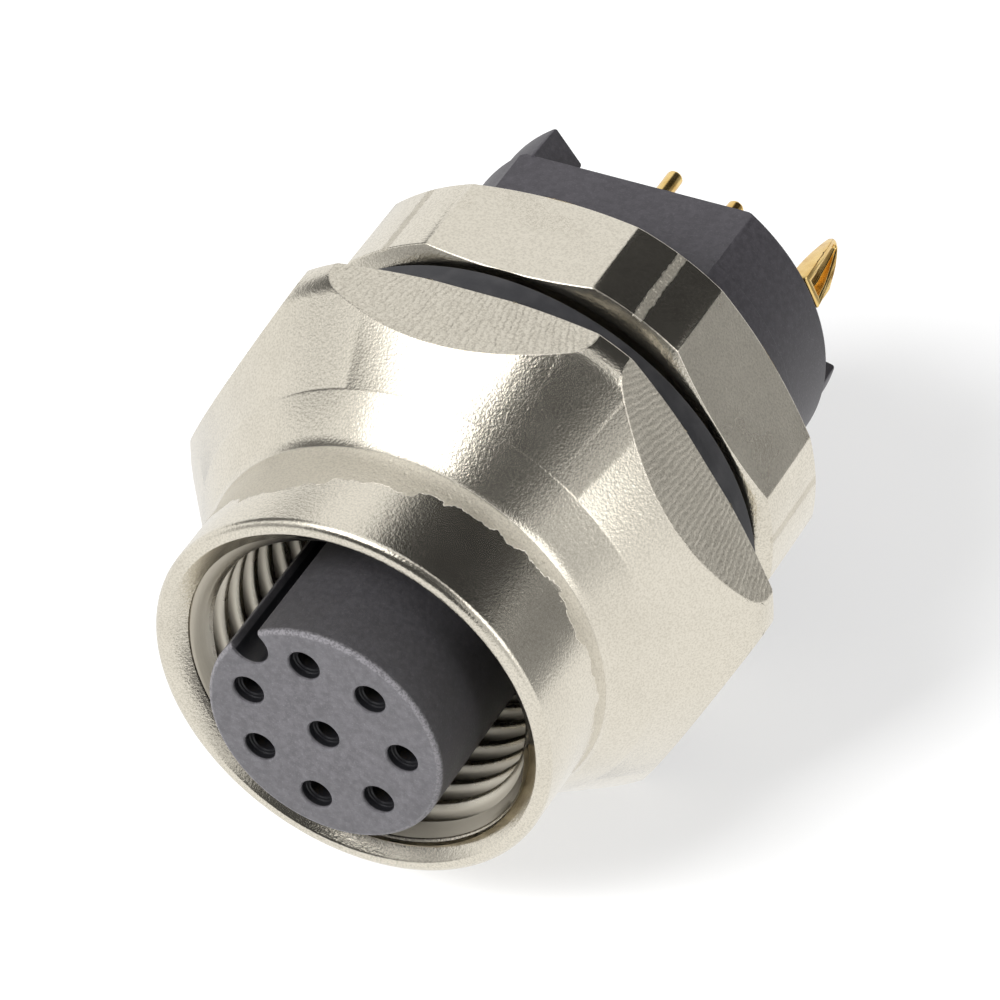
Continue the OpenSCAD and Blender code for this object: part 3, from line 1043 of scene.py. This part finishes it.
@dataclass
class ShieldPin(Piece):
    """The folded gold pin beside the contacts. Sizes in mm."""

    inner_r: float = 5.98
    strip_t: float = 0.3
    strip_front: float = 3.74
    width: float = 1.2
    root: float = 11.6
    length: float = 3.1
    fold_h: float = 0.8
    tip_w: float = 0.46
    wall: float = 0.28
    crown_r: float = 8.8

    def build(self) -> None:
        """Folds the pin and hands it over."""
        pin = self.leaf("shield_pin_folded", self.inner_r, 0.0)
        Bench.cut(pin, [self.leaf("hollow", self.inner_r + self.wall, self.wall)])
        Bench.ease(pin, 0.07, 50, 3)
        Bench.smooth(pin, 40)
        self.hand_over(pin, self.finishes.gold, Slot.GOLD, "shield_pin")
        half = self.width / 2
        strip = Bench.block("shield_strip", (self.inner_r, self.strip_front, -half),
                            (self.inner_r + self.strip_t, self.root + 0.12, half), PIN_ANGLE)
        Bench.tidy(strip)
        Bench.ease(strip, 0.05, 50)
        Bench.smooth(strip, 40)
        self.hand_over(strip, self.finishes.gold, Slot.GOLD)

    def leaf(self, name: str, radius: float, margin: float) -> Solid:
        """A leaf-shaped blank with a rounded tip, standing on the strip's inner face.

        Args:
            name: Name of the new object.
            radius: Distance of its foot from the axis.
            margin: How far its edge lies inside the pin's. Without one its outer face is crowned.

        Returns:
            The blank.
        """
        tip = self.tip_w / 2 - margin * 0.5
        reach = self.root + self.length - self.tip_w / 2 - margin * 0.5
        half, start = self.width / 2 - margin, self.root + margin
        sides = [(start + (reach - start) * k / 8, half + (tip - half) * (k / 8) ** 2) for k in range(9)]
        edge = [(y, -side) for y, side in sides]
        for angle in range(30, 180, 30):
            a = math.radians(angle)
            edge.append((reach + tip * math.sin(a), -tip * math.cos(a)))
        edge += [(y, side) for y, side in reversed(sides)]
        blank = Bench.outline(name, [(radius, y) for y, _ in edge])
        Bench.close()
        for vertex, (_, side) in zip(blank.data.vertices, edge):
            vertex.co.z = side * MM
        Bench.open(blank)
        bpy.ops.mesh.edge_face_add()
        bpy.ops.mesh.extrude_region_move(TRANSFORM_OT_translate={"value": (self.fold_h * MM, 0, 0)})
        Bench.close()
        for vertex in blank.data.vertices:
            if vertex.select and margin == 0:
                fall = math.sqrt(self.crown_r ** 2 - (vertex.co.y / MM) ** 2)
                vertex.co.x = (self.fold_h - self.crown_r + fall) * MM
        Bench.open(blank)
        Bench.swing(PIN_ANGLE, "Y")
        Bench.tidy(blank)
        return blank


@dataclass
class Seals(Piece):
    """The panel seal, and the hidden ring seal, which stays as its CAD node. Sizes in mm."""

    steps: int = 192
    inner_r: float = 7.6
    outer_r: float = 9.0
    thickness: float = 1.3
    draft: float = 0.04

    def build(self) -> None:
        """Moulds the panel seal and dresses the ring seal."""
        before, behind = self.thickness / 2 - 0.02, self.thickness / 2 + 0.02
        side = self.outer_r - self.draft
        seal = Bench.turn("panel_seal_ring", rounded([
            (self.inner_r, before, 0), (self.inner_r, 0, 0.06), (side, 0, 0.12),
            (self.outer_r, before, 0), (self.outer_r, behind, 0), (side, self.thickness, 0.12),
            (self.inner_r, self.thickness, 0.06)]), self.steps)
        Bench.smooth(seal, 35)
        self.hand_over(seal, self.finishes.rubber, Slot.RUBBER, "panel_seal")
        self.dress(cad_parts["inner_seal"], self.finishes.rubber)
        LOG.info("inner_seal: CAD node with the rubber finish")


@dataclass
class LockNut(Piece):
    """The nut behind the panel, which turns on the spigot. Sizes in mm."""

    steps: int = 240
    front: float = 2.1
    thickness: float = 4.0
    bore_r: float = 7.55
    corner_r: float = NUT_CORNER_R
    flat_r: float = NUT_FLAT_R
    chamfer: float = 0.54
    lead: float = 0.35

    def build(self) -> None:
        """Turns the blank, cuts its six flats and hands the nut over."""
        front, rear = self.front, self.front + self.thickness
        rise = self.chamfer * math.tan(math.radians(30))
        inner, face_r = self.bore_r + self.lead, self.corner_r - self.chamfer
        nut = Bench.turn("lock_nut_body", [
            (inner, front), (face_r, front), (self.corner_r, front + rise), (self.corner_r, rear - rise),
            (face_r, rear), (inner, rear), (self.bore_r, rear - self.lead),
            (self.bore_r, front + self.lead)], self.steps)
        Bench.cut(nut, [Bench.hexagon(self.flat_r, front - 1, rear + 1)], Cut.COMMON)
        Bench.flatten(nut, 0.03)
        Bench.ease(nut, 0.045, 15)
        Bench.smooth(nut, 30)
        self.hand_over(nut, self.finishes.nickel_nut, Slot.NICKEL, "lock_nut", body=Body.NUT)


@dataclass(frozen=True)
class Screen:
    """A round patch of light or dark that only reflections show, fading from inner to outer. In degrees."""

    azimuth: float
    elevation: float
    inner: float
    outer: float
    level: float

    def aim(self) -> Corner:
        """The direction of its middle."""
        a, e = math.radians(self.azimuth), math.radians(self.elevation)
        return math.sin(a) * math.cos(e), -math.cos(a) * math.cos(e), math.sin(e)


@dataclass(frozen=True)
class Lamp:
    """A soft square lamp that looks at the part. Sizes in mm, power in watts."""

    name: str
    place: Corner
    width: float
    height: float
    watts: float

    def build(self) -> None:
        """Hangs the lamp."""
        Bench.clear()
        place = Vector(self.place)
        turn = (-place).to_track_quat("-Z", "Y").to_euler()
        bpy.ops.object.light_add(type="AREA", location=place * MM, rotation=turn)
        lamp = bpy.context.object
        lamp.name = self.name
        lamp.data.shape = "RECTANGLE"
        lamp.data.size, lamp.data.size_y = self.width * MM, self.height * MM
        lamp.data.energy = self.watts
        lamp.visible_glossy = False


@dataclass
class Studio:
    """Floor, lamps, surroundings and camera. Sizes in mm, angles in degrees."""

    azimuth: float = 29.14
    elevation: float = 40.40
    roll: float = -3.93
    distance: float = 200.3
    frame_px: float = 1000.0
    focal_px: float = 6178.0
    middle_px: Point = (495.6, 504.9)
    middle_y: float = 0.5
    sensor_w: float = 36.0
    floor_z: float = -9.27
    floor_glow: float = 0.55
    plain_level: float = 0.96
    diffuse_level: float = 0.45
    lamps: tuple[Lamp, ...] = (
        Lamp("key_lamp", (-140, -240, 260), 190, 170, 3.0),
        Lamp("side_lamp", (300, -120, 120), 60, 160, 0.5),
    )
    screens: tuple[Screen, ...] = (
        Screen(-108, 32, 14, 26, 0.14),
        Screen(-50, 14, 6, 24, 0.40),
        Screen(58, 18, 12, 26, 0.58),
        Screen(95, 30, 12, 22, 2.00),
        Screen(0, 30, 28, 38, 0.07),
        Screen(50, 60, 15, 28, 0.10),
        Screen(154, 36, 27, 36, 0.04),
        Screen(131, 2, 15, 22, 0.25),
        Screen(-38, 64, 15, 23, 3.2),
    )

    def build(self) -> None:
        """Sets the stage, the lamps, the surroundings and the camera."""
        self.floor()
        self.surroundings()
        for lamp in self.lamps:
            lamp.build()
        self.camera()
        bpy.context.scene.view_settings.view_transform = "Standard"

    def floor(self) -> None:
        """A wide pale floor, which glows a little to the camera and doesn't show in reflections."""
        Bench.clear()
        bpy.ops.mesh.primitive_plane_add(size=6000 * MM, location=(0, 0, self.floor_z * MM))
        floor = bpy.context.object
        floor.name = "floor"
        material = bpy.data.materials.new("floor")
        material.use_nodes = True
        g = Graph(material.node_tree)
        paint = g.wire("ShaderNodeBsdfDiffuse", {"Color": (0.86, 0.86, 0.86, 1)})
        glow = g.wire("ShaderNodeEmission", {"Color": (1, 1, 1, 1), "Strength": 1.0})
        clear = g.wire("ShaderNodeBsdfTransparent")
        path = g.node("ShaderNodeLightPath")
        seen = Wire(g, path.outputs["Is Camera Ray"]) * self.floor_glow
        lit = g.wire("ShaderNodeMixShader", {0: seen, 1: paint, 2: glow})
        mix = g.wire("ShaderNodeMixShader", {0: path.outputs["Is Glossy Ray"], 1: lit, 2: clear})
        g.node("ShaderNodeOutputMaterial", {"Surface": mix})
        floor.data.materials.append(material)

    def surroundings(self) -> None:
        """White to the camera, plain to diffuse light, and with light and dark screens in reflections."""
        world = bpy.data.worlds.new("studio")
        bpy.context.scene.world = world
        world.use_nodes = True
        g = Graph(world.node_tree)
        outward = g.node("ShaderNodeTexCoord").outputs["Generated"]
        level: Any = self.plain_level
        for screen in self.screens:
            near = g.wire("ShaderNodeVectorMath", {0: outward, 1: screen.aim()}, "Value",
                          operation="DOT_PRODUCT")
            inner, outer = (math.cos(math.radians(angle)) for angle in (screen.inner, screen.outer))
            level = g.level(level, screen.level, near.rise(outer, inner))
        path = g.node("ShaderNodeLightPath")
        level = g.level(self.diffuse_level, level, path.outputs["Is Glossy Ray"])
        level = g.level(level, 1.0, path.outputs["Is Camera Ray"])
        background = g.node("ShaderNodeBackground", {"Color": (1, 1, 1, 1), "Strength": level})
        g.node("ShaderNodeOutputWorld", {"Surface": background.outputs[0]})

    def camera(self) -> None:
        """Places the camera at the photograph's view."""
        az, el, roll = (math.radians(a) for a in (self.azimuth, self.elevation, self.roll))
        ahead = Vector((-math.sin(az) * math.cos(el), math.cos(az) * math.cos(el), -math.sin(el)))
        level = Vector((math.cos(az), math.sin(az), 0))
        above = level.cross(ahead)
        right = level * math.cos(roll) + above * math.sin(roll)
        up = above * math.cos(roll) - level * math.sin(roll)
        data = bpy.data.cameras.new("camera")
        data.sensor_width = self.sensor_w
        data.lens = self.focal_px * self.sensor_w / self.frame_px
        data.shift_x = (self.frame_px / 2 - self.middle_px[0]) / self.frame_px
        data.shift_y = (self.middle_px[1] - self.frame_px / 2) / self.frame_px
        data.clip_start, data.clip_end = 0.01, 20
        camera = bpy.data.objects.new("camera", data)
        bpy.context.scene.collection.objects.link(camera)
        turn = Matrix((right, up, -ahead)).transposed().to_4x4()
        place = Vector((0, self.middle_y, 0)) - ahead * self.distance
        camera.matrix_world = Matrix.Translation(place * MM) @ turn
        bpy.context.scene.camera = camera


def main() -> None:
    """Builds the pieces in order and sets the studio round them."""
    logging.basicConfig(level=logging.INFO, format="%(name)s: %(message)s")
    finishes = Finishes()
    for part in (Housing, Insert, Contacts, Carrier, ShieldPin, Seals, LockNut):
        part(finishes).build()
    Studio().build()


if __name__ == "__main__":
    main()
